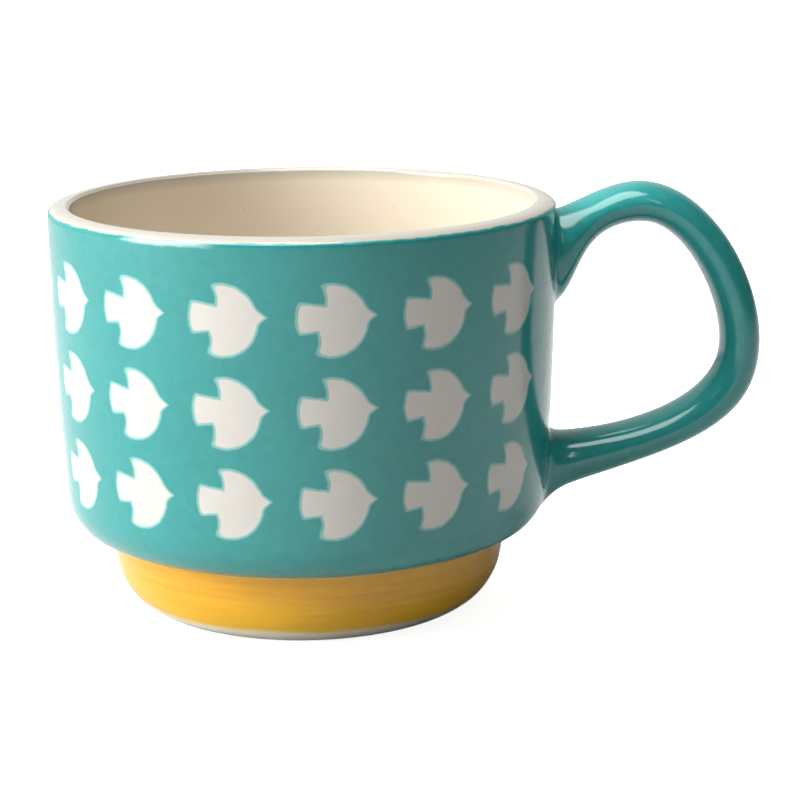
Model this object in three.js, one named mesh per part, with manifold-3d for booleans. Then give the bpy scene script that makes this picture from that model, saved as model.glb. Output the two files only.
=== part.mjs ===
// A handled stoneware mug with a narrow stacking foot, in millimetres, +Z up.
// The origin is on the cup's axis, on the plane that the foot ring stands on, and the handle is towards +X.
import * as THREE from "three";
import { mergeVertices } from "three/addons/utils/BufferGeometryUtils.js";
import Module from "manifold-3d";

const wasm = await Module();
wasm.setup();

// The cup, measured over the glaze.
const RIM_RADIUS = 48;
const CUP_HEIGHT = 78.4;
const WALL_TAPER = 1.75; // how much narrower the wall is at the shoulder than at the rim
const WALL_THICKNESS = 4.1;
const LIP_HEIGHT = 1.4; // the rounded edge above the wall, on the outside
const LIP_INNER_HEIGHT = 1; // the same on the inside
const LIP_CROWN_INSET = 3.2; // from the rim in to the edge's highest line
const SHOULDER_HEIGHT = 23.1;
const SHOULDER_SLOPE = THREE.MathUtils.degToRad(13); // the underside of the shoulder, from level
const SHOULDER_ROUND = 6.2; // how far the wall's own line runs on into the rounding
const SHOULDER_RUN = 3.2; // how far the slope runs on into it from below

// The foot.
const FOOT_HEIGHT = 15;
const FOOT_RADIUS = 38.1;
const FOOT_TAPER = 0.45; // how much narrower the foot is where its lower edge starts to round
const FOOT_ROUND_HEIGHT = 11;
const FOOT_RUN = 5; // how far the foot's curve runs on level into the ring
const RING_OUTER_RADIUS = 26.9;
const RING_WIDTH = 4.5;
const RECESS_DEPTH = 0.8;
const FLOOR_THICKNESS = 5.2;
const FLOOR_RADIUS = 24; // the level part of the floor
const BARE_BAND_HEIGHT = 2; // unglazed clay above the standing plane

// The handle, measured over its glaze.
const HANDLE_REACH = 40; // from the wall to the outermost point
const HANDLE_RISE = 2.4; // how far its crown stands above the rim
const HANDLE_CROWN_REACH = 16.9; // from the wall to the crown
const HANDLE_BEND_HEIGHT = 49.3; // the height of its outermost point
const HANDLE_THICKNESS = 7.7;
const HANDLE_WIDTH = 12.4;
const UPPER_ROOT_DROP = 12.45; // from the rim down to the middle of the upper end
const LOWER_ROOT_HEIGHT = 25.8; // the middle of the lower end
const UPPER_ROOT_SIZE = 17.9;
const LOWER_ROOT_SIZE = 12.4;
const ROOT_EXTRA_WIDTH = 3.4;
const ROOT_LENGTH = 13; // how far from the wall an end stops widening
const ROOT_DEPTH = 2.5; // how far the loft runs into the wall before it is cut off

// The glaze coats, the slip, and what keeps touching pieces apart.
const GLAZE = 0.35;
const SLIP = 0.6;
const FIT_GAP = 0.05;
const EDGE_GAP = 0.3; // between the edges of two coats

const ROUND_SEGMENTS = 48;
const HANDLE_SECTIONS = 12; // along each of the handle's three stretches
const HANDLE_SIDES = 12;
const FACING_STEPS = 200; // how finely the handle's two edges are matched

const TURQUOISE = 0x3f8f8b;
const CREAM = 0xe9dcc3;
const YELLOW = 0xd6a23c;
const CLAY = 0xd0c8ba;
const GLOSSY = 0.25;
const MATT = 0.85;

const WALL_TOP = CUP_HEIGHT - LIP_HEIGHT;
const FLOOR_HEIGHT = RECESS_DEPTH + FLOOR_THICKNESS;
const RING_INNER_RADIUS = RING_OUTER_RADIUS - RING_WIDTH;

// ---- outlines: lists of (radius, height) points, each one going down or inwards ----

const point = (x, y) => new THREE.Vector2(x, y);

const bezier = (start, startHandle, endHandle, end, divisions) =>
  new THREE.CubicBezierCurve(start, startHandle, endHandle, end).getPoints(divisions);

// The wall leaves the rim upright and narrows faster and faster towards the shoulder.
function wallRadius(height) {
  const share = (WALL_TOP - height) / (WALL_TOP - SHOULDER_HEIGHT);
  return RIM_RADIUS - WALL_TAPER * share ** 2;
}

// It ends above the shoulder's first point, so that the two outlines can follow each other.
function wallOutline(top) {
  const steps = 6;
  const fall = top - SHOULDER_HEIGHT;
  const heights = Array.from({ length: steps }, (_, i) => top - (fall * i) / steps);
  return heights.map((height) => point(wallRadius(height), height));
}

function shoulderOutline() {
  const start = point(wallRadius(SHOULDER_HEIGHT), SHOULDER_HEIGHT);
  const startHandle = point(start.x - WALL_TAPER / 4, start.y - SHOULDER_ROUND);
  const end = point(FOOT_RADIUS, FOOT_HEIGHT);
  const endHandle = point(end.x + SHOULDER_RUN, end.y + SHOULDER_RUN * Math.tan(SHOULDER_SLOPE));
  return bezier(start, startHandle, endHandle, end, 9);
}

function footOutline(top) {
  const waist = point(FOOT_RADIUS - FOOT_TAPER, FOOT_ROUND_HEIGHT);
  const end = point(RING_OUTER_RADIUS, 0);
  const waistHandle = point(waist.x - 2 * FOOT_TAPER, FOOT_ROUND_HEIGHT / 3);
  const endHandle = point(end.x + FOOT_RUN, 0);
  return [point(FOOT_RADIUS, top), ...bezier(waist, waistHandle, endHandle, end, 9)];
}

// Over the lip from the outside, down the inside parallel to the wall, in over the shoulder and into
// the floor.
function insideOutline() {
  const crownRadius = RIM_RADIUS - LIP_CROWN_INSET;
  const quarterRound = (width, height, start) =>
    new THREE.EllipseCurve(crownRadius, CUP_HEIGHT - height, width, height, start, start + Math.PI / 2);
  const outerLip = quarterRound(LIP_CROWN_INSET, LIP_HEIGHT, 0).getPoints(6);
  const innerWidth = WALL_THICKNESS - LIP_CROWN_INSET;
  const innerLip = quarterRound(innerWidth, LIP_INNER_HEIGHT, Math.PI / 2).getPoints(3);
  const waistHeight = (WALL_TOP + SHOULDER_HEIGHT) / 2;
  const waist = point(wallRadius(waistHeight) - WALL_THICKNESS, waistHeight);
  const wellRadius = FOOT_RADIUS - FOOT_TAPER - WALL_THICKNESS;
  const bottom = point(wallRadius(SHOULDER_HEIGHT) - WALL_THICKNESS, SHOULDER_HEIGHT + 2);
  const step = point((bottom.x + wellRadius) / 2, FOOT_HEIGHT + 3.4);
  const well = point(wellRadius, FOOT_ROUND_HEIGHT + 1);
  const floor = point(FLOOR_RADIUS, FLOOR_HEIGHT);
  return [
    ...outerLip,
    ...innerLip.slice(1),
    waist,
    ...bezier(bottom, point(bottom.x, bottom.y - 3), point(step.x + 2, step.y + 1.4), step, 4),
    ...bezier(step, point(step.x - 2, step.y - 1.4), point(well.x, well.y + 3), well, 4).slice(1),
    ...bezier(well, point(well.x, FLOOR_HEIGHT + 2), point(floor.x + 4, floor.y), floor, 5).slice(1),
    point(0, FLOOR_HEIGHT),
  ];
}

// Moves an outline sideways, to the right of the way that it runs, which is into the clay from outside.
function shift(points, distance) {
  return points.map((here, i) => {
    const before = points[i - 1] ?? here;
    const after = points[i + 1] ?? here;
    const right = (a, b) => point(b.y - a.y, a.x - b.x).normalize();
    const normals = [right(before, here), right(here, after)].filter((n) => n.lengthSq() > 0);
    const middle = normals.reduce((sum, n) => sum.add(n), point(0, 0)).normalize();
    const moved = here.clone().addScaledVector(middle, distance / middle.dot(normals[0]));
    return here.x === 0 ? point(0, moved.y) : moved;
  });
}

// Ends a falling outline at a height.
function endAt(points, height) {
  const next = points.findIndex((p) => p.y < height);
  const [a, b] = [points[next - 1], points[next]];
  return [...points.slice(0, next), a.clone().lerp(b, (height - a.y) / (b.y - a.y))];
}

// ---- solids ----

function toSolid(geometry) {
  const bare = new THREE.BufferGeometry();
  bare.setAttribute("position", geometry.getAttribute("position"));
  bare.setIndex(geometry.index);
  const merged = mergeVertices(bare, 1e-4);
  const mesh = new wasm.Mesh({
    numProp: 3,
    vertProperties: merged.attributes.position.array,
    triVerts: new Uint32Array(merged.index.array),
  });
  return new wasm.Manifold(mesh);
}

function toGeometry(solid) {
  const mesh = solid.getMesh();
  const geometry = new THREE.BufferGeometry();
  geometry.setAttribute("position", new THREE.BufferAttribute(mesh.vertProperties, 3));
  geometry.setIndex(new THREE.BufferAttribute(mesh.triVerts, 1));
  geometry.computeVertexNormals();
  return geometry;
}

// A closed outline, or one that ends on the axis twice, turned about Z. It runs anticlockwise.
function turned(outline) {
  return new THREE.LatheGeometry(outline, ROUND_SEGMENTS).rotateX(Math.PI / 2);
}

// A coat of glaze on the clay's side of an outline that runs round the outside: a thin closed ring.
function outerCoat(outline) {
  const back = shift(outline, GLAZE - FIT_GAP);
  return turned([...back, ...[...outline].reverse(), back[0].clone()]);
}

// The same for an outline that runs over the lip and down to the middle of the floor: a thin bowl.
function innerCoat(outline) {
  const back = shift(outline, FIT_GAP - GLAZE);
  return turned([...back.reverse(), ...outline]);
}

// Everything inside the wall and the shoulder, up past the handle, grown by a distance.
function wallSolid(growth) {
  const over = CUP_HEIGHT + HANDLE_RISE + 10;
  const outline = shift([...wallOutline(WALL_TOP), ...shoulderOutline()], -growth);
  const first = outline[0];
  const last = outline.at(-1);
  const loop = [point(0, over), point(first.x, over), ...outline, point(0, last.y)];
  return toSolid(turned(loop.reverse()));
}

const path = (...stretches) => {
  const whole = new THREE.CurvePath();
  stretches.forEach((controls) => whole.add(new THREE.CubicBezierCurve(...controls)));
  return whole.curves;
};

// The handle seen from the side: its outer and inner edges, from the upper end over the crown to the
// lower end.
function handleEdges() {
  const upperWall = RIM_RADIUS - ROOT_DEPTH;
  const lowerWall = wallRadius(LOWER_ROOT_HEIGHT) - ROOT_DEPTH;
  const upperRoot = CUP_HEIGHT - UPPER_ROOT_DROP;
  const upperHalf = UPPER_ROOT_SIZE / 2;
  const lowerHalf = LOWER_ROOT_SIZE / 2;
  const crown = point(RIM_RADIUS + HANDLE_CROWN_REACH, CUP_HEIGHT + HANDLE_RISE);
  const bend = point(RIM_RADIUS + HANDLE_REACH, HANDLE_BEND_HEIGHT);
  const innerCrown = point(crown.x, crown.y - HANDLE_THICKNESS);
  const innerBend = point(bend.x - HANDLE_THICKNESS, bend.y);
  const fall = crown.y - bend.y;
  const width = bend.x - crown.x;
  const outer = path(
    [
      point(upperWall, upperRoot + upperHalf),
      point(upperWall + 6, upperRoot + upperHalf + 1),
      point(crown.x - 7.6, crown.y),
      crown,
    ],
    [crown, point(crown.x + width / 2, crown.y), point(bend.x, bend.y + 0.45 * fall), bend],
    [
      bend,
      point(bend.x, bend.y - 0.59 * fall),
      point(lowerWall + 26, LOWER_ROOT_HEIGHT + 2.3),
      point(lowerWall, LOWER_ROOT_HEIGHT - lowerHalf),
    ],
  );
  const inner = path(
    [
      point(upperWall, upperRoot - upperHalf),
      point(upperWall + 8.5, upperRoot - upperHalf + 0.5),
      point(innerCrown.x - 15.4, innerCrown.y + 0.4),
      innerCrown,
    ],
    [
      innerCrown,
      point(innerCrown.x + width / 3, innerCrown.y),
      point(innerBend.x, bend.y + 0.3 * fall),
      innerBend,
    ],
    [
      innerBend,
      point(innerBend.x, bend.y - 0.38 * fall),
      point(lowerWall + 17, LOWER_ROOT_HEIGHT + 5.4),
      point(lowerWall, LOWER_ROOT_HEIGHT + lowerHalf),
    ],
  );
  return outer.map((edge, i) => [edge, inner[i]]);
}

// The share of the inner edge that lies straight across the handle from a share of the outer one.
function facingShare([outer, inner], share) {
  const far = outer.getPoint(share);
  const slant = (t) => {
    const along = outer.getTangent(share).add(inner.getTangent(t));
    return Math.abs(far.clone().sub(inner.getPoint(t)).dot(along));
  };
  const shares = Array.from({ length: FACING_STEPS + 1 }, (_, i) => i / FACING_STEPS);
  return shares.reduce((best, t) => (slant(t) < slant(best) ? t : best));
}

// One cross-section: where it is, which way is outwards, and its two half sizes. It stands square to the
// handle, and leans over to lie along the wall as it comes near it.
function handleSection(edges, share) {
  const [outer, inner] = edges;
  const far = outer.getPoint(share);
  const clear = THREE.MathUtils.clamp((far.x - RIM_RADIUS) / ROOT_LENGTH, 0, 1);
  const near = inner.getPoint(THREE.MathUtils.lerp(share, facingShare(edges, share), clear ** 2));
  return {
    centre: far.clone().lerp(near, 0.5),
    outwards: far.clone().sub(near).normalize(),
    halfThickness: far.distanceTo(near) / 2,
    halfWidth: (HANDLE_WIDTH + ROOT_EXTRA_WIDTH * (1 - clear) ** 2) / 2,
  };
}

function handleSections() {
  const shares = Array.from({ length: HANDLE_SECTIONS }, (_, i) => (i + 1) / HANDLE_SECTIONS);
  const stretches = handleEdges();
  const rest = stretches.flatMap((edges) => shares.map((share) => handleSection(edges, share)));
  return [handleSection(stretches[0], 0), ...rest];
}

// The handle's full loft with its skin moved outwards by a distance, running into the wall at both ends.
function handleLoft(growth) {
  const positions = [];
  const triangles = [];
  const sections = handleSections();
  for (const { centre, outwards, halfThickness, halfWidth } of sections) {
    for (let side = 0; side < HANDLE_SIDES; side += 1) {
      const angle = (2 * Math.PI * side) / HANDLE_SIDES;
      const across = (halfThickness + growth) * Math.cos(angle);
      const sideways = (halfWidth + growth) * Math.sin(angle);
      positions.push(centre.x + across * outwards.x, sideways, centre.y + across * outwards.y);
    }
  }
  for (let ring = 0; ring < sections.length - 1; ring += 1) {
    for (let side = 0; side < HANDLE_SIDES; side += 1) {
      const a = ring * HANDLE_SIDES + side;
      const b = ring * HANDLE_SIDES + ((side + 1) % HANDLE_SIDES);
      triangles.push(a, a + HANDLE_SIDES, b, b, a + HANDLE_SIDES, b + HANDLE_SIDES);
    }
  }
  const lastRing = (sections.length - 1) * HANDLE_SIDES;
  for (let side = 1; side < HANDLE_SIDES - 1; side += 1) {
    triangles.push(0, side, side + 1);
    triangles.push(lastRing, lastRing + side + 1, lastRing + side);
  }
  const geometry = new THREE.BufferGeometry();
  geometry.setAttribute("position", new THREE.Float32BufferAttribute(positions, 3));
  geometry.setIndex(triangles);
  return toSolid(geometry);
}

// ---- pieces ----

// Clay surfaces lie one glaze thickness under the finished ones, and the foot ring stands bare.
function cupBody() {
  const outside = [...wallOutline(WALL_TOP), ...shoulderOutline(), ...footOutline(FOOT_HEIGHT).slice(1)];
  const clayOutside = shift(outside, GLAZE);
  clayOutside[clayOutside.length - 1] = point(RING_OUTER_RADIUS - GLAZE, 0);
  const clayInside = shift(insideOutline(), -GLAZE);
  const underside = [
    point(RING_INNER_RADIUS, 0),
    point(RING_INNER_RADIUS - RECESS_DEPTH, RECESS_DEPTH + GLAZE),
    point(0, RECESS_DEPTH + GLAZE),
  ];
  const loop = [...clayInside.reverse(), ...clayOutside.slice(1), ...underside];
  return turned(loop.reverse());
}

function undersideGlaze() {
  const edge = RING_INNER_RADIUS - RECESS_DEPTH - EDGE_GAP;
  const top = RECESS_DEPTH + GLAZE - FIT_GAP;
  return turned([point(0, RECESS_DEPTH), point(edge, RECESS_DEPTH), point(edge, top), point(0, top)]);
}

// The wall's coat stops short of the lip's and the foot's, and is cut away round the handle's ends.
function wallGlaze() {
  const ring = toSolid(outerCoat([...wallOutline(WALL_TOP - EDGE_GAP), ...shoulderOutline()]));
  return toGeometry(ring.subtract(handleLoft(EDGE_GAP)));
}

function footGlaze() {
  return outerCoat(endAt(footOutline(FOOT_HEIGHT - EDGE_GAP), BARE_BAND_HEIGHT));
}

// The layer of slip between the clay wall and one end of the handle.
function slipSeam(isUpper) {
  const layer = wallSolid(SLIP - GLAZE).subtract(wallSolid(FIT_GAP - GLAZE));
  const ends = layer.intersect(handleLoft(-GLAZE));
  const middleHeight = (CUP_HEIGHT - UPPER_ROOT_DROP + LOWER_ROOT_HEIGHT) / 2;
  const side = isUpper ? 1 : -1;
  return toGeometry(ends.trimByPlane([0, 0, side], side * middleHeight));
}

function handleClay() {
  return toGeometry(handleLoft(-GLAZE).subtract(wallSolid(SLIP - GLAZE + FIT_GAP)));
}

function handleGlaze() {
  const sleeve = handleLoft(0).subtract(handleLoft(FIT_GAP - GLAZE));
  return toGeometry(sleeve.subtract(wallSolid(EDGE_GAP)));
}

function piece(name, geometry, color, roughness) {
  const material = new THREE.MeshStandardMaterial({ color, roughness, metalness: 0 });
  const mesh = new THREE.Mesh(geometry, material);
  mesh.name = name;
  return mesh;
}

const mug = new THREE.Group();
mug.name = "mug";
mug.add(
  piece("cup_body", cupBody(), CLAY, MATT),
  piece("handle", handleClay(), CLAY, MATT),
  piece("upper_slip_seam", slipSeam(true), CLAY, MATT),
  piece("lower_slip_seam", slipSeam(false), CLAY, MATT),
  piece("liner_glaze", innerCoat(insideOutline()), CREAM, GLOSSY),
  piece("wall_glaze", wallGlaze(), TURQUOISE, GLOSSY),
  piece("handle_glaze", handleGlaze(), TURQUOISE, GLOSSY),
  piece("foot_glaze", footGlaze(), YELLOW, GLOSSY),
  piece("underside_glaze", undersideGlaze(), CREAM, GLOSSY),
);

export default mug;
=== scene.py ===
from math import atan2, cos, pi, radians, sin
import bpy
import bmesh
from mathutils import Matrix, Vector


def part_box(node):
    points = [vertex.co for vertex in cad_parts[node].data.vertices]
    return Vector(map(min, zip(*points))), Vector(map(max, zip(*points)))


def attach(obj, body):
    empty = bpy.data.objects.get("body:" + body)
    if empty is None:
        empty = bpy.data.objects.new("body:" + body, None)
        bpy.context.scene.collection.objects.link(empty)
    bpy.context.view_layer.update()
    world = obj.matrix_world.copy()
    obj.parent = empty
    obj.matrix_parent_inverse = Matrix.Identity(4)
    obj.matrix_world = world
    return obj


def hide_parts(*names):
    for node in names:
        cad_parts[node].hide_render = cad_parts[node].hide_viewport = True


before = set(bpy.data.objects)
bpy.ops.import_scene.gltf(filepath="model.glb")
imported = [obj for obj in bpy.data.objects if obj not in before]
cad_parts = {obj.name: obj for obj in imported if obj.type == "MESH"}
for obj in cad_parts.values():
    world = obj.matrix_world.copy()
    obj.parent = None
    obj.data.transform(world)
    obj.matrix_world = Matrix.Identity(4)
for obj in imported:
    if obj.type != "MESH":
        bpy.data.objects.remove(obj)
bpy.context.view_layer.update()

mm = 0.001


# ---- Camera -------------------------------------------------------------------------------------
# A long lens on a tripod, a little above the rim and less than half a metre away. It looks along +Y
# with the handle on its right, and the horizon is off level by less than a degree.
camera_place = Vector((0, -458.0, 145.4)) * mm
camera_turn = radians(-2.38)
camera_tilt = radians(90 - 13.21)
camera_roll = radians(-0.61)
camera_data = bpy.data.cameras.new("studio_camera")
camera_data.lens = 108
camera_data.clip_end = 50
camera = bpy.data.objects.new("studio_camera", camera_data)
camera.matrix_world = (
    Matrix.Translation(camera_place)
    @ Matrix.Rotation(camera_turn, 4, "Z")
    @ Matrix.Rotation(camera_tilt, 4, "X")
    @ Matrix.Rotation(camera_roll, 4, "Z")
)
bpy.context.collection.objects.link(camera)
bpy.context.scene.camera = camera


# ---- Clay cup -----------------------------------------------------------------------------------
# The cast stoneware body: wall, rounded shoulder, narrow stacking foot and floor in one piece. It is
# glazed nearly all over, so only the foot ring and a thin band above it show bare, dry, off-white clay.
glaze = 0.35
rim_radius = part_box("wall_glaze")[1][1] / mm
cup_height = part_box("liner_glaze")[1][2] / mm
foot_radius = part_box("foot_glaze")[1][1] / mm
foot_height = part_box("wall_glaze")[0][2] / mm
recess_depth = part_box("underside_glaze")[0][2] / mm
wall = 4.1
wall_taper = 1.75
lip_height = 1.4
lip_inset = 3.2
lip_inner_height = 1
lip_seam = 32  # degrees round the lip, from level outside, at which cream meets turquoise
coat_top = 12
lip_base = cup_height - lip_height
shoulder_top = 23.1
shoulder_round = 6.2
shoulder_lean = 0.44
shoulder_run, shoulder_rise = 3.2, 0.74
foot_waist = 11
foot_taper = 0.45
foot_turn = 3.67
foot_run = 5
ring_outer = 26.9
ring_inner = 22.4
floor_height = recess_depth + 5.2


def bezier(a, b, c, d, shares):
    """Points on a cubic curve, each a (radius, height) pair."""
    weights = [((1 - t) ** 3, 3 * (1 - t) ** 2 * t, 3 * (1 - t) * t * t, t**3) for t in shares]
    return [tuple(sum(w * p[i] for w, p in zip(ws, (a, b, c, d))) for i in (0, 1)) for ws in weights]


def wall_radius(height):
    """The wall leaves the rim upright and narrows faster and faster towards the shoulder."""
    return rim_radius - wall_taper * ((lip_base - height) / (lip_base - shoulder_top)) ** 2


def shoulder(shares):
    top = wall_radius(shoulder_top)
    start_handle = (top - shoulder_lean, shoulder_top - shoulder_round)
    end_handle = (foot_radius + shoulder_run, foot_height + shoulder_rise)
    return bezier((top, shoulder_top), start_handle, end_handle, (foot_radius, foot_height), shares)


def foot(shares):
    waist = (foot_radius - foot_taper, foot_waist)
    waist_handle = (foot_radius - 3 * foot_taper, foot_turn)
    return bezier(waist, waist_handle, (ring_outer + foot_run, 0), (ring_outer, 0), shares)


def lip(angle, inset=0):
    """The lip's highest line lies towards the inside, so its outer curve is the wider of the two."""
    width, rise = (lip_inset, lip_height) if angle < 90 else (wall - lip_inset, lip_inner_height)
    return (
        rim_radius - lip_inset + (width - inset) * cos(radians(angle)),
        cup_height - rise + (rise - inset) * sin(radians(angle)),
    )


def inside(inset=0):
    """The inner surface from under the lip to the middle of the floor."""
    well = foot_radius - foot_taper - wall
    bend = wall_radius(shoulder_top) - wall
    step = ((bend + well) / 2, foot_height + 3.4)
    rows = [(wall_radius(z) - wall, z) for z in (74, 68, 60, 52, 44, 36, 29)]
    rows += bezier((bend, 25.1), (bend, 22.1), (step[0] + 2, step[1] + 1.4), step, (0, 0.35, 0.7, 1))
    rows += bezier(step, (step[0] - 2, step[1] - 1.4), (well, 14.6), (well, 11.6), (0.4, 0.75, 1))
    corner = (well, 11.6), (well, floor_height + 2), (28, floor_height), (24, floor_height)
    rows += bezier(*corner, (0.3, 0.6, 1))
    rows += [(16, floor_height), (8, floor_height), (2.5, floor_height), (0, floor_height)]
    return [(max(r + inset, 0) if r else 0, z - inset * (z < 20)) for r, z in rows]


def cage_through(points):
    """Rounding pulls a cage inwards: this moves its points out until the rounded shape meets them."""
    wanted = [Vector(p) for p in points]
    cage = [p.copy() for p in wanted]
    for _ in range(12):
        for i in range(1, len(cage) - 1):
            if (cage[i + 1] - cage[i]).length and (cage[i] - cage[i - 1]).length:
                rounded = (cage[i - 1] + 4 * cage[i] + cage[i + 1]) / 6
                cage[i] += 0.7 * (wanted[i] - rounded)
    return cage


def turn_piece(name, profile, segments=64):
    """Raises a circle ring by ring, as clay is thrown: each ring is extruded, lifted and scaled."""
    rings = [(r * 3 / (2 + cos(2 * pi / segments)), z) for r, z in cage_through(profile)]
    bpy.ops.object.select_all(action="DESELECT")
    radius, height = rings[0]
    bpy.ops.mesh.primitive_circle_add(vertices=segments, radius=radius * mm, location=(0, 0, height * mm))
    piece = bpy.context.object
    piece.name = piece.data.name = name
    bpy.ops.object.transform_apply(location=True)
    bpy.ops.object.mode_set(mode="EDIT")
    bpy.ops.mesh.select_all(action="SELECT")
    for next_radius, next_height in rings[1:]:
        bpy.ops.mesh.extrude_region_move(
            TRANSFORM_OT_translate={"value": (0, 0, (next_height - height) * mm)}
        )
        if next_radius > 0.01:
            scale = next_radius / radius
            bpy.ops.transform.resize(value=(scale, scale, 1), center_override=(0, 0, next_height * mm))
        else:
            bpy.ops.mesh.merge(type="CENTER")
        radius, height = next_radius, next_height
    bpy.ops.mesh.select_all(action="SELECT")
    bpy.ops.mesh.remove_doubles(threshold=0.001 * mm)
    bpy.ops.mesh.normals_make_consistent(inside=False)
    bpy.ops.object.mode_set(mode="OBJECT")
    return piece


def finish_piece(piece, levels=2, thickness=0):
    """Rounds the facets off, gives a coat its thickness on the clay's side, and shades it smooth."""
    bpy.ops.object.select_all(action="DESELECT")
    piece.select_set(True)
    bpy.context.view_layer.objects.active = piece
    rounding = piece.modifiers.new("rounding", "SUBSURF")
    rounding.levels = rounding.render_levels = levels
    bpy.ops.object.modifier_apply(modifier=rounding.name)
    if thickness:
        body = piece.modifiers.new("body", "SOLIDIFY")
        body.thickness = thickness * mm
        body.offset = -1
        bpy.ops.object.modifier_apply(modifier=body.name)
    bpy.ops.object.shade_smooth_by_angle(angle=radians(40))


clay_inside = inside(inset=glaze)
clay_lip = [lip(angle, inset=glaze) for angle in (180, 140, 110, 85, 65, 45, 22, 0)]
clay_wall = [(wall_radius(z) - glaze, z) for z in (70, 60, 50, 40, 30)]
clay_shoulder = [(r - glaze, z + glaze) for r, z in shoulder((0, 0.2, 0.4, 0.6, 0.8, 1))]
clay_foot = [(r - glaze, z) for r, z in [(foot_radius, 13)] + foot((0, 0.2, 0.38, 0.5))]
bare_foot = [(r - 0.08, z) for r, z in foot((0.55, 0.65, 0.77, 0.88, 0.97))]
standing_ring = [
    (ring_outer - 0.4, 0), (ring_outer - 0.8, 0), (ring_inner + 0.5, 0), (ring_inner + 0.1, 0.04),
    (ring_inner - 0.2, 0.3), (ring_inner - 0.7, recess_depth + glaze - 0.1),
    (ring_inner - 1.2, recess_depth + glaze), (12, recess_depth + glaze), (0, recess_depth + glaze),
]
clay_cup = turn_piece(
    "clay_cup",
    clay_inside[::-1][1:] + clay_lip + clay_wall + clay_shoulder + clay_foot + bare_foot + standing_ring,
)
bpy.ops.object.mode_set(mode="EDIT")
bpy.ops.mesh.select_mode(type="EDGE")
bpy.ops.mesh.select_all(action="DESELECT")
bpy.ops.mesh.select_non_manifold()
bpy.ops.mesh.edge_face_add()
bpy.ops.mesh.poke()
bpy.ops.mesh.select_all(action="SELECT")
bpy.ops.mesh.normals_make_consistent(inside=False)
bpy.ops.object.mode_set(mode="OBJECT")
finish_piece(clay_cup, levels=1)


def new_material(name, **sockets):
    """A Principled material with plain values on its own sockets."""
    material = bpy.data.materials.new(name)
    material.use_nodes = True
    shader = material.node_tree.nodes["Principled BSDF"]
    for label, value in sockets.items():
        shader.inputs[label.replace("_", " ")].default_value = value
    return material, material.node_tree, shader


def add_node(tree, kind, inputs=(), output=0, **settings):
    """Adds a node, fills its inputs with values or links, and gives back one of its outputs."""
    node = tree.nodes.new(kind)
    for key, value in settings.items():
        setattr(node, key, value)
    pairs = inputs.items() if isinstance(inputs, dict) else enumerate(inputs)
    for socket, value in pairs:
        if isinstance(value, bpy.types.NodeSocket):
            tree.links.new(value, node.inputs[socket])
        else:
            node.inputs[socket].default_value = value
    return node.outputs[output]


def millimetres(tree):
    """A point's place on the mug, in millimetres."""
    place = add_node(tree, "ShaderNodeTexCoord", output="Object")
    return add_node(tree, "ShaderNodeVectorMath", {0: place, "Scale": 1000}, operation="SCALE")


def give(piece, material, body_slot, *nodes):
    piece.data.materials.clear()
    piece.data.materials.append(material)
    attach(piece, "root")
    if nodes:
        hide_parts(*nodes)


def mix_colors(tree, share, first, second):
    return add_node(
        tree, "ShaderNodeMix", {0: share, 6: first, 7: second}, output=2, data_type="RGBA", clamp_factor=True
    )


bare_clay, tree, shader = new_material("dry_stoneware", Roughness=0.85, Specular_IOR_Level=0.3)
place = millimetres(tree)
tone = add_node(tree, "ShaderNodeTexNoise", {"Vector": place, "Scale": 0.16, "Detail": 4})
grit = add_node(tree, "ShaderNodeTexNoise", {"Vector": place, "Scale": 3.2, "Detail": 3})
speck = add_node(tree, "ShaderNodeTexVoronoi", {"Vector": place, "Scale": 0.9}, output="Distance")
speck_mask = add_node(tree, "ShaderNodeMapRange", [speck, 0.07, 0.13, 1, 0])
clay_color = mix_colors(tree, tone, (0.76, 0.72, 0.63, 1), (0.83, 0.79, 0.71, 1))
clay_color = mix_colors(tree, speck_mask, clay_color, (0.42, 0.33, 0.24, 1))
tree.links.new(clay_color, shader.inputs["Base Color"])
bump = add_node(tree, "ShaderNodeBump", {"Strength": 0.35, "Distance": 0.05 * mm, "Height": grit})
tree.links.new(bump, shader.inputs["Normal"])
give(clay_cup, bare_clay, "stoneware", "cup_body")


# ---- Cream liner glaze --------------------------------------------------------------------------
# A warm cream glaze poured inside the cup and wiped over the lip. It is glossy and a little uneven,
# as poured glaze is, and it is painted greyer over the rounded lip as painted shade against the light it
# catches.
liner_lip = [lip(angle) for angle in (lip_seam, 48, 65, 82, 95, 115, 145, 180)]
liner = turn_piece("liner_glaze_coat", liner_lip + inside())
finish_piece(liner, thickness=glaze)


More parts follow.
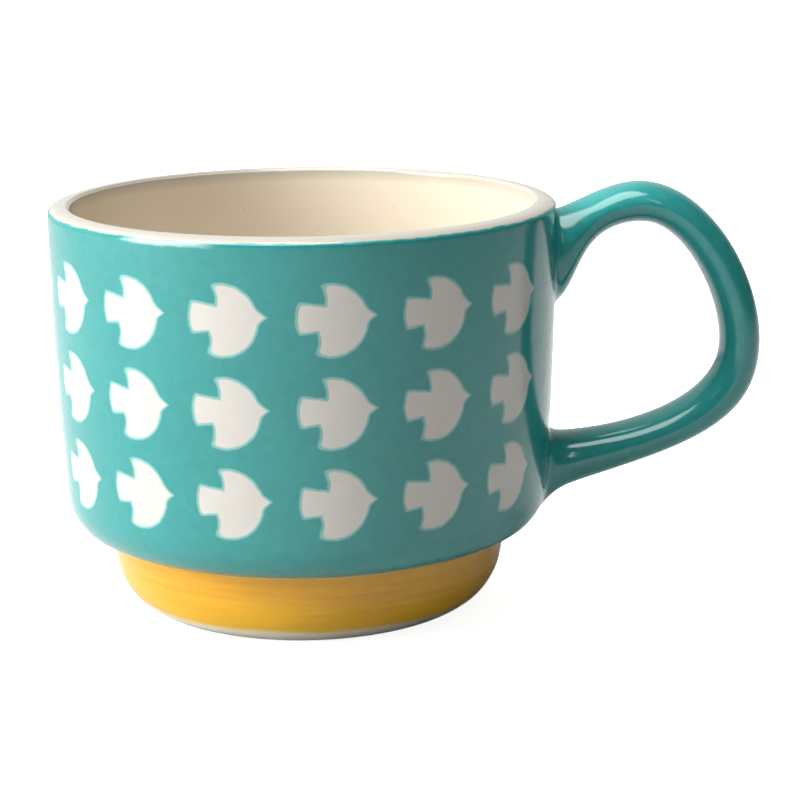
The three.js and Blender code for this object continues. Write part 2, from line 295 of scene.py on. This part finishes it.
def glaze_surface():
    """What every glaze on the mug shares: a slow drift of tone, a fine mottle, and a faint waviness."""
    group = bpy.data.node_groups.new("glaze_surface", "ShaderNodeTree")
    group.interface.new_socket("Place", in_out="INPUT", socket_type="NodeSocketVector")
    group.interface.new_socket("Wave Size", in_out="INPUT", socket_type="NodeSocketFloat")
    group.interface.new_socket("Drift", in_out="OUTPUT", socket_type="NodeSocketFloat")
    group.interface.new_socket("Mottle", in_out="OUTPUT", socket_type="NodeSocketFloat")
    group.interface.new_socket("Specks", in_out="OUTPUT", socket_type="NodeSocketFloat")
    group.interface.new_socket("Height", in_out="OUTPUT", socket_type="NodeSocketFloat")
    ends = [group.nodes.new("NodeGroupInput"), group.nodes.new("NodeGroupOutput")]
    spot, size = ends[0].outputs[:2]
    frequency = add_node(group, "ShaderNodeMath", [1.0, size], operation="DIVIDE")
    drift = add_node(group, "ShaderNodeTexNoise", {"Vector": spot, "Scale": 0.045, "Detail": 2})
    fine = {"Vector": spot, "Scale": 0.55, "Detail": 5, "Roughness": 0.62}
    mottle = add_node(group, "ShaderNodeTexNoise", fine)
    waves = add_node(group, "ShaderNodeTexNoise", {"Vector": spot, "Scale": frequency, "Detail": 2})
    cells = add_node(group, "ShaderNodeTexVoronoi", {"Vector": spot, "Scale": 0.34}, output="Distance")
    specks = add_node(group, "ShaderNodeMapRange", [cells, 0.035, 0.075, 1, 0])
    height = add_node(group, "ShaderNodeMath", [specks, -0.05, waves], operation="MULTIPLY_ADD")
    for socket, value in zip(ends[1].inputs, (drift, mottle, specks, height)):
        group.links.new(value, socket)
    return group


glaze_look = glaze_surface()


def add_glaze(tree, place, wave_size):
    """Places the shared glaze group and gives back its node."""
    node = tree.nodes.new("ShaderNodeGroup")
    node.node_tree = glaze_look
    tree.links.new(place, node.inputs["Place"])
    node.inputs["Wave Size"].default_value = wave_size
    return node


def bump_from(tree, shader, height, distance):
    bump = add_node(tree, "ShaderNodeBump", {"Distance": distance * mm, "Height": height})
    tree.links.new(bump, shader.inputs["Normal"])


cream, tree, shader = new_material("cream_gloss", IOR=1.5)
place = millimetres(tree)
look = add_glaze(tree, place, 9)
color = mix_colors(tree, look.outputs["Drift"], (0.74, 0.65, 0.52, 1), (0.78, 0.71, 0.59, 1))
color = mix_colors(tree, look.outputs["Specks"], color, (0.60, 0.46, 0.30, 1))
height_up = add_node(tree, "ShaderNodeSeparateXYZ", [place], output="Z")
# Painted shade: towards the lip the cream is mixed with grey, darker than the glaze itself, to tone down the
# light there.
painted_lip_shade = add_node(tree, "ShaderNodeMapRange", [height_up, lip_base - 1.5, lip_base + 1.2, 0, 0.75])
color = mix_colors(tree, painted_lip_shade, color, (0.36, 0.35, 0.31, 1))
tree.links.new(color, shader.inputs["Base Color"])
gloss = add_node(tree, "ShaderNodeMapRange", [look.outputs["Mottle"], 0.3, 0.7, 0.12, 0.2])
tree.links.new(gloss, shader.inputs["Roughness"])
bump_from(tree, shader, look.outputs["Height"], 0.10)
give(liner, cream, "cream_glaze", "liner_glaze")


# ---- Turquoise coat, with the birds -------------------------------------------------------------
# One coat of glossy turquoise glaze runs over the wall, the shoulder and the whole handle, and rounds
# off the joints where the handle is stuck on. Off-white birds stand in it in three rows.
handle_crown = (rim_radius + 16.9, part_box("handle_glaze")[1][2] / mm)
handle_bend = (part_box("handle_glaze")[1][0] / mm, 49.3)
handle_thickness = 7.7
root_extra_width = 1.7
root_length = 13
root_depth = 2.5
handle_half_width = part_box("handle_glaze")[1][1] / mm - root_extra_width
upper_root, upper_root_half = cup_height - 12.45, 8.95
lower_root, lower_root_half = 25.8, 6.2
upper_wall = rim_radius - root_depth
lower_wall = wall_radius(lower_root) - root_depth
fall = handle_crown[1] - handle_bend[1]
reach = handle_bend[0] - handle_crown[0]
facing_steps = 200


def handle_edge(stretch, share, outer):
    """A point on the handle's outer or inner edge, seen from the side."""
    side = 1 if outer else -1
    crown = (handle_crown[0], handle_crown[1] - (0 if outer else handle_thickness))
    bend = (handle_bend[0] - (0 if outer else handle_thickness), handle_bend[1])
    start = (upper_wall, upper_root + side * upper_root_half)
    end = (lower_wall, lower_root - side * lower_root_half)
    controls = {
        (0, True): (start, (start[0] + 6, start[1] + 1), (crown[0] - 7.6, crown[1]), crown),
        (1, True): (crown, (crown[0] + reach / 2, crown[1]), (bend[0], bend[1] + 0.45 * fall), bend),
        (2, True): (bend, (bend[0], bend[1] - 0.59 * fall), (lower_wall + 26, lower_root + 2.3), end),
        (0, False): (start, (start[0] + 8.5, start[1] + 0.5), (crown[0] - 15.4, crown[1] + 0.4), crown),
        (1, False): (crown, (crown[0] + reach / 3, crown[1]), (bend[0], bend[1] + 0.3 * fall), bend),
        (2, False): (bend, (bend[0], bend[1] - 0.38 * fall), (lower_wall + 17, lower_root + 5.4), end),
    }
    return Vector(bezier(*controls[stretch, outer], [share])[0])


def handle_section(stretch, share):
    """A cross-section's middle, its turn from level, its half thickness and its half width."""
    far = handle_edge(stretch, share, True)
    clear = min(max((far.x - rim_radius) / root_length, 0), 1)

    def run(t, outer):
        ends = [handle_edge(stretch, t + step, outer) for step in (-0.01, 0.01)]
        return (ends[1] - ends[0]).normalized()

    def slant(t):
        return abs((far - handle_edge(stretch, t, False)).dot(run(share, True) + run(t, False)))

    facing = min((i / facing_steps for i in range(facing_steps + 1)), key=slant)
    near = handle_edge(stretch, share + (facing - share) * clear**2, False)
    across = far - near
    half_width = handle_half_width + root_extra_width * (1 - clear) ** 2
    return (far + near) / 2, atan2(across.y, across.x), across.length / 2, half_width


def raise_handle(sections, sides=18):
    """Pulls the handle from its upper end: each ring is extruded, turned and scaled in its own plane."""
    bpy.ops.object.select_all(action="DESELECT")
    middle, turn, half_thickness, half_width = sections[0]
    place = Vector((middle.x, 0, middle.y)) * mm
    bpy.ops.mesh.primitive_circle_add(vertices=sides, radius=1 * mm, location=place)
    piece = bpy.context.object
    piece.name = "handle_pull"
    bpy.ops.object.transform_apply(location=True)
    bpy.ops.object.mode_set(mode="EDIT")
    bpy.ops.mesh.select_all(action="SELECT")
    size = (1, 1)
    turned = 0
    swell = 3 / (2 + cos(2 * pi / sides))
    for index, (middle, turn, half_thickness, half_width) in enumerate(sections):
        half_thickness *= swell
        half_width *= swell
        next_place = Vector((middle.x, 0, middle.y)) * mm
        if index:
            bpy.ops.mesh.extrude_region_move(TRANSFORM_OT_translate={"value": next_place - place})
            bpy.ops.transform.rotate(value=-turned, orient_axis="Y", center_override=next_place)
        scale = (half_thickness / size[0], half_width / size[1], 1)
        bpy.ops.transform.resize(value=scale, center_override=next_place)
        bpy.ops.transform.rotate(value=turn, orient_axis="Y", center_override=next_place)
        place, size, turned = next_place, (half_thickness, half_width), turn
    bpy.ops.object.mode_set(mode="OBJECT")
    return piece


upper_rows = (76.2, 72.6, 68.9, 65.1, 61.2, 57.2)
lower_rows = (36.4, 32.4, 28.4, 24.4)
coat_rings = [lip(lip_seam), lip(coat_top)]
coat_rings += [(wall_radius(z), z) for z in upper_rows + (51.8, 46.4, 41.2) + lower_rows]
coat_rings += shoulder((0.14, 0.35, 0.5, 0.66, 0.82, 0.95, 1))
coat = turn_piece("turquoise_coat", coat_rings)

rise = (0.14, 0.21, 0.28, 0.36, 0.44, 0.52, 0.6, 0.68, 0.76, 0.84, 0.92, 1)
pulled = [handle_section(0, t) for t in rise]
pulled += [handle_section(1, t) for t in (0.12, 0.25, 0.38, 0.5, 0.62, 0.75, 0.88, 1)]
pulled += [handle_section(2, t) for t in (0.1, 0.2, 0.3, 0.4, 0.5, 0.6, 0.7, 0.78, 0.86, 0.92)]
handle_pull = raise_handle(pulled)

# The wall is opened behind each end of the handle, and the two rims are bridged with a small fillet.
shoulder_patch = 18
bpy.ops.object.select_all(action="DESELECT")
bpy.context.view_layer.objects.active = coat
bpy.ops.object.mode_set(mode="EDIT")
mesh = bmesh.from_edit_mesh(coat.data)
for face in mesh.faces:
    centre = face.calc_center_median() / mm
    behind = centre.x > 40 and abs(centre.y) < 9
    behind_upper = upper_rows[-1] < centre.z < upper_rows[0]
    behind_lower = shoulder_patch < centre.z < lower_rows[0]
    face.select_set(behind and (behind_upper or behind_lower))
bmesh.update_edit_mesh(coat.data)
bpy.ops.mesh.delete(type="FACE")
bpy.ops.object.mode_set(mode="OBJECT")
handle_pull.select_set(True)
coat.select_set(True)
bpy.ops.object.join()
bpy.ops.object.mode_set(mode="EDIT")
bpy.ops.mesh.select_mode(type="EDGE")
for low, high in ((50, lip(coat_top)[1]), (17, 45)):
    bpy.ops.mesh.select_all(action="DESELECT")
    mesh = bmesh.from_edit_mesh(coat.data)
    for edge in mesh.edges:
        ends = [vertex.co / mm for vertex in edge.verts]
        near_root = all(e.x > 41 and abs(e.y) < 12 and low < e.z < high for e in ends)
        edge.select_set(edge.is_boundary and near_root)
    bmesh.update_edit_mesh(coat.data)
    bpy.ops.mesh.bridge_edge_loops(number_cuts=1, interpolation="SURFACE", smoothness=0.8)
bpy.ops.mesh.select_all(action="SELECT")
bpy.ops.mesh.normals_make_consistent(inside=False)
bpy.ops.object.mode_set(mode="OBJECT")
finish_piece(coat, thickness=glaze)


def calc(tree, operation, *values):
    return add_node(tree, "ShaderNodeMath", values, operation=operation)


def fade(tree, value, start, end, low=0.0, high=1.0):
    """Goes smoothly from low to high while a value goes from start to end."""
    limits = [value, start, end, low, high]
    return add_node(tree, "ShaderNodeMapRange", limits, interpolation_type="SMOOTHSTEP")


def bird_flock():
    """The resist pattern, as two masks: a bird's body, and the pale rim where the glaze thins beside it."""
    bird_rows, row_height, row_pitch = 3, 47.5, 16.6
    turn_to_bird, bird_pitch, birds_each_side = radians(175.3), radians(22.95), 6
    group = bpy.data.node_groups.new("bird_flock", "ShaderNodeTree")
    group.interface.new_socket("Place", in_out="INPUT", socket_type="NodeSocketVector")
    group.interface.new_socket("Bird", in_out="OUTPUT", socket_type="NodeSocketFloat")
    group.interface.new_socket("Rim", in_out="OUTPUT", socket_type="NodeSocketFloat")
    spot = group.nodes.new("NodeGroupInput").outputs["Place"]
    result = group.nodes.new("NodeGroupOutput")
    axes = add_node(group, "ShaderNodeSeparateXYZ", [spot]).node.outputs

    # How far round and how far up a point is from the middle of its own bird, in millimetres.
    around = calc(group, "ADD", calc(group, "ARCTAN2", axes["Y"], axes["X"]), turn_to_bird)
    around = calc(group, "WRAP", around, pi, -pi)
    column = calc(group, "ROUND", calc(group, "DIVIDE", around, bird_pitch))
    column = add_node(group, "ShaderNodeClamp", [column, -birds_each_side, birds_each_side])
    along = calc(group, "MULTIPLY_ADD", column, -bird_pitch, around)
    along = calc(group, "MULTIPLY", along, rim_radius - 0.3)
    lift = calc(group, "SUBTRACT", axes["Z"], row_height)
    row = calc(group, "ROUND", calc(group, "DIVIDE", lift, row_pitch))
    row = add_node(group, "ShaderNodeClamp", [row, -(bird_rows // 2), bird_rows // 2])
    up = calc(group, "MULTIPLY_ADD", row, -row_pitch, lift)
    spread = add_node(group, "ShaderNodeCombineXYZ", [along, up, 0.0])

    def circle(x, y, radius):
        points = [spread, (x, y, 0)]
        away = add_node(group, "ShaderNodeVectorMath", points, output="Value", operation="DISTANCE")
        return calc(group, "SUBTRACT", away, radius)

    def wedge(level, base, slope, start):
        half = calc(group, "MULTIPLY_ADD", along, slope, base - slope * start)
        return calc(group, "SUBTRACT", calc(group, "ABSOLUTE", calc(group, "SUBTRACT", up, level)), half)

    body = circle(-0.9, 0, 6.7)
    for x, y, radius in ((-6.0, 3.6, 4.0), (-6.6, -3.6, 3.4)):
        body = calc(group, "SMOOTH_MAX", body, calc(group, "MULTIPLY", circle(x, y, radius), -1.0), 1.5)
    tail = calc(group, "MAXIMUM", wedge(0.45, 2.6, -0.14, -3), along)
    tail = calc(group, "SMOOTH_MAX", tail, circle(0, 0.4, 7.2), 0.8)
    beak = calc(group, "MAXIMUM", wedge(0.7, 0.0, -0.75, 7.4), calc(group, "SUBTRACT", 4.0, along))
    shape = calc(group, "SMOOTH_MIN", calc(group, "SMOOTH_MIN", body, tail, 0.3), beak, 0.9)
    wobble = add_node(group, "ShaderNodeTexNoise", {"Vector": spot, "Scale": 0.8, "Detail": 2})
    shape = calc(group, "ADD", shape, calc(group, "MULTIPLY_ADD", wobble, 0.3, -0.15))
    group.links.new(fade(group, shape, -0.36, -0.66), result.inputs["Bird"])
    group.links.new(fade(group, shape, 0.16, -0.30), result.inputs["Rim"])
    return group


turquoise, tree, shader = new_material("turquoise_gloss", IOR=1.5)
place = millimetres(tree)
look = add_glaze(tree, place, 14)
axes = add_node(tree, "ShaderNodeSeparateXYZ", [place]).node.outputs
color = mix_colors(tree, look.outputs["Drift"], (0.020, 0.245, 0.232, 1), (0.032, 0.295, 0.280, 1))
grain = fade(tree, look.outputs["Mottle"], 0.35, 0.7, 0, 0.16)
color = mix_colors(tree, grain, color, (0.07, 0.40, 0.375, 1))

# The coat is wiped back under the lip, with a painted highlight as a paler band under the wipe at one place,
# and is thin at the shoulder's lower edge.
wipe_line = lip_base + 0.95
ragged = add_node(tree, "ShaderNodeTexNoise", {"Vector": place, "Scale": 0.22, "Detail": 4, "Roughness": 0.6})
edge = calc(tree, "MULTIPLY_ADD", ragged, 0.9, axes["Z"])
from_axis = add_node(tree, "ShaderNodeVectorMath", {0: place, 1: (1, 1, 0)}, operation="MULTIPLY")
from_axis = add_node(tree, "ShaderNodeVectorMath", [from_axis], output="Value", operation="LENGTH")
on_the_cup = fade(tree, from_axis, rim_radius + 0.6, rim_radius + 0.1)
wiped = calc(tree, "MULTIPLY", fade(tree, edge, wipe_line, wipe_line + 0.3), on_the_cup)
# Painted highlight: a paler teal band just under the wipe line, at one place round the front left.
round_the_cup = calc(tree, "ARCTAN2", axes["Y"], axes["X"])
from_highlight = calc(tree, "ABSOLUTE", calc(tree, "ADD", round_the_cup, radians(120)))
rim_highlight = fade(tree, from_highlight, radians(13), radians(6))
rim_highlight = calc(tree, "MULTIPLY", rim_highlight, fade(tree, edge, wipe_line - 1.05, wipe_line - 0.55, 0, 0.6))
color = mix_colors(tree, rim_highlight, color, (0.55, 0.72, 0.66, 1))
color = mix_colors(tree, wiped, color, (0.50, 0.48, 0.43, 1))
thin_edge = fade(tree, axes["Z"], foot_height + 0.22, foot_height + 0.04, 0, 0.8)
color = mix_colors(tree, thin_edge, color, (0.50, 0.62, 0.42, 1))

flock = tree.nodes.new("ShaderNodeGroup")
flock.node_tree = bird_flock()
tree.links.new(place, flock.inputs["Place"])
bird_color = mix_colors(tree, look.outputs["Mottle"], (0.60, 0.57, 0.515, 1), (0.67, 0.64, 0.585, 1))
color = mix_colors(tree, calc(tree, "MULTIPLY", flock.outputs["Rim"], 0.75), color, (0.30, 0.56, 0.51, 1))
color = mix_colors(tree, flock.outputs["Bird"], color, bird_color)
tree.links.new(color, shader.inputs["Base Color"])
gloss = fade(tree, look.outputs["Mottle"], 0.3, 0.7, 0.10, 0.17)
gloss = calc(tree, "MULTIPLY_ADD", flock.outputs["Bird"], 0.05, gloss)
tree.links.new(gloss, shader.inputs["Roughness"])
relief = calc(tree, "MULTIPLY_ADD", flock.outputs["Bird"], -0.35, look.outputs["Height"])
bump_from(tree, shader, relief, 0.10)
give(coat, turquoise, "turquoise_glaze", "wall_glaze", "handle_glaze")


# ---- Yellow foot coat ---------------------------------------------------------------------------
# A glossy ochre glaze brushed round the foot on the wheel. It runs from orange under the shoulder to
# lemon at its lower edge, where it thins out over the pale clay.
foot_coat = turn_piece(
    "ochre_foot_coat",
    [(foot_radius, foot_height), (foot_radius - 0.15, 13)] + foot((0, 0.12, 0.24, 0.36, 0.45, 0.515)),
)
finish_piece(foot_coat, thickness=glaze)

ochre, tree, shader = new_material("ochre_gloss", IOR=1.5)
place = millimetres(tree)
look = add_glaze(tree, place, 10)
axes = add_node(tree, "ShaderNodeSeparateXYZ", [place]).node.outputs
brushed = add_node(tree, "ShaderNodeVectorMath", {0: place, 1: (0.05, 0.05, 1.3)}, operation="MULTIPLY")
bristles = {"Vector": brushed, "Scale": 1.0, "Detail": 4, "Roughness": 0.55}
strokes = add_node(tree, "ShaderNodeTexNoise", bristles)
stroke_mask = fade(tree, strokes, 0.35, 0.65)
level = calc(tree, "MULTIPLY_ADD", look.outputs["Drift"], 1.6, axes["Z"])
lower = fade(tree, level, 12.5, 4.2)
color = mix_colors(tree, lower, (0.84, 0.40, 0.008, 1), (0.90, 0.51, 0.010, 1))
deeper = mix_colors(tree, lower, (0.70, 0.31, 0.008, 1), (0.84, 0.45, 0.010, 1))
color = mix_colors(tree, calc(tree, "MULTIPLY", stroke_mask, 0.55), color, deeper)
thin = fade(tree, level, 5.0, 3.8)
color = mix_colors(tree, thin, color, (0.90, 0.78, 0.36, 1))
bare = fade(tree, level, 4.2, 3.3)
color = mix_colors(tree, bare, color, (0.90, 0.87, 0.80, 1))
top_line = fade(tree, axes["Z"], foot_height - 0.30, foot_height - 0.12, 0, 0.7)
color = mix_colors(tree, top_line, color, (0.80, 0.74, 0.50, 1))
tree.links.new(color, shader.inputs["Base Color"])
gloss = fade(tree, look.outputs["Mottle"], 0.3, 0.7, 0.13, 0.22)
tree.links.new(gloss, shader.inputs["Roughness"])
relief = calc(tree, "MULTIPLY_ADD", strokes, 0.5, look.outputs["Height"])
bump_from(tree, shader, relief, 0.10)
give(foot_coat, ochre, "yellow_glaze", "foot_glaze")


# ---- Clay handle, slip seams and underside ------------------------------------------------------
# The handle's clay and the two layers of slip lie under the turquoise coat and stay as they are, in dry
# clay. The disc of clear glaze inside the foot ring shows the pale clay through it, with a little grit.
for name in ("handle", "upper_slip_seam", "lower_slip_seam"):
    for material_slot in bpy.data.objects[name].material_slots:
        material_slot.material = bare_clay

clear, tree, shader = new_material("clear_gloss", IOR=1.5)
place = millimetres(tree)
look = add_glaze(tree, place, 8)
color = mix_colors(tree, look.outputs["Drift"], (0.62, 0.575, 0.49, 1), (0.70, 0.66, 0.58, 1))
color = mix_colors(tree, fade(tree, look.outputs["Mottle"], 0.4, 0.75, 0, 0.35), color, (0.50, 0.44, 0.35, 1))
color = mix_colors(tree, look.outputs["Specks"], color, (0.33, 0.24, 0.16, 1))
tree.links.new(color, shader.inputs["Base Color"])
gloss = fade(tree, look.outputs["Mottle"], 0.3, 0.7, 0.16, 0.30)
tree.links.new(gloss, shader.inputs["Roughness"])
bump_from(tree, shader, look.outputs["Height"], 0.12)
for material_slot in bpy.data.objects["underside_glaze"].material_slots:
    material_slot.material = clear


# ---- Stage --------------------------------------------------------------------------------------
# A white table that runs out of sight, a large softbox on the left, one overhead, a strip on the right
# for the light on the handle, and bright surroundings behind, which the glaze mirrors at its edges.
bpy.ops.object.select_all(action="DESELECT")
bpy.ops.mesh.primitive_plane_add(size=60)
table = bpy.context.object
table.name = "white_table"
paper, tree, shader = new_material("white_paper", Roughness=0.9)
shader.inputs["Emission Color"].default_value = (1, 1, 1, 1)
seen = add_node(tree, "ShaderNodeLightPath", output="Is Camera Ray")
bounced = add_node(tree, "ShaderNodeLightPath", output="Is Diffuse Ray")
color = mix_colors(tree, bounced, (0.8, 0.8, 0.8, 1), (0.44, 0.44, 0.44, 1))
tree.links.new(color, shader.inputs["Base Color"])
tree.links.new(calc(tree, "MULTIPLY", seen, 0.90), shader.inputs["Emission Strength"])
table.data.materials.append(paper)


def add_softbox(name, place, aim, width, height, power):
    light = bpy.data.lights.new(name, "AREA")
    light.shape = "RECTANGLE"
    light.size = width
    light.size_y = height
    light.energy = power
    softbox = bpy.data.objects.new(name, light)
    direction = Vector(aim) - Vector(place)
    softbox.location = place
    softbox.rotation_euler = direction.to_track_quat("-Z", "Y").to_euler()
    bpy.context.collection.objects.link(softbox)


middle = (0, 0, cup_height * mm / 2)
add_softbox("key_left", (-1.0, -0.34, 0.42), middle, 0.6, 0.8, 18.5)
add_softbox("overhead", (-0.15, -0.1, 1.0), middle, 0.7, 0.7, 11.5)
add_softbox("strip_right", (0.35, -0.8, 0.75), (0.07, 0, 0.04), 0.03, 0.5, 0.5)
world = bpy.data.worlds.new("studio")
world.use_nodes = True
tree = world.node_tree
direction = add_node(tree, "ShaderNodeTexCoord", output="Generated")
behind = add_node(
    tree, "ShaderNodeVectorMath", [direction, (-0.45, 0.85, 0.1)], output="Value", operation="DOT_PRODUCT"
)
seen = add_node(tree, "ShaderNodeLightPath", output="Is Camera Ray")
strength = calc(tree, "MAXIMUM", fade(tree, behind, 0.15, 0.8, 0.03, 0.8), seen)
tree.links.new(strength, tree.nodes["Background"].inputs["Strength"])
tree.nodes["Background"].inputs["Color"].default_value = (1, 1, 1, 1)
bpy.context.scene.world = world
bpy.context.scene.view_settings.view_transform = "Standard"
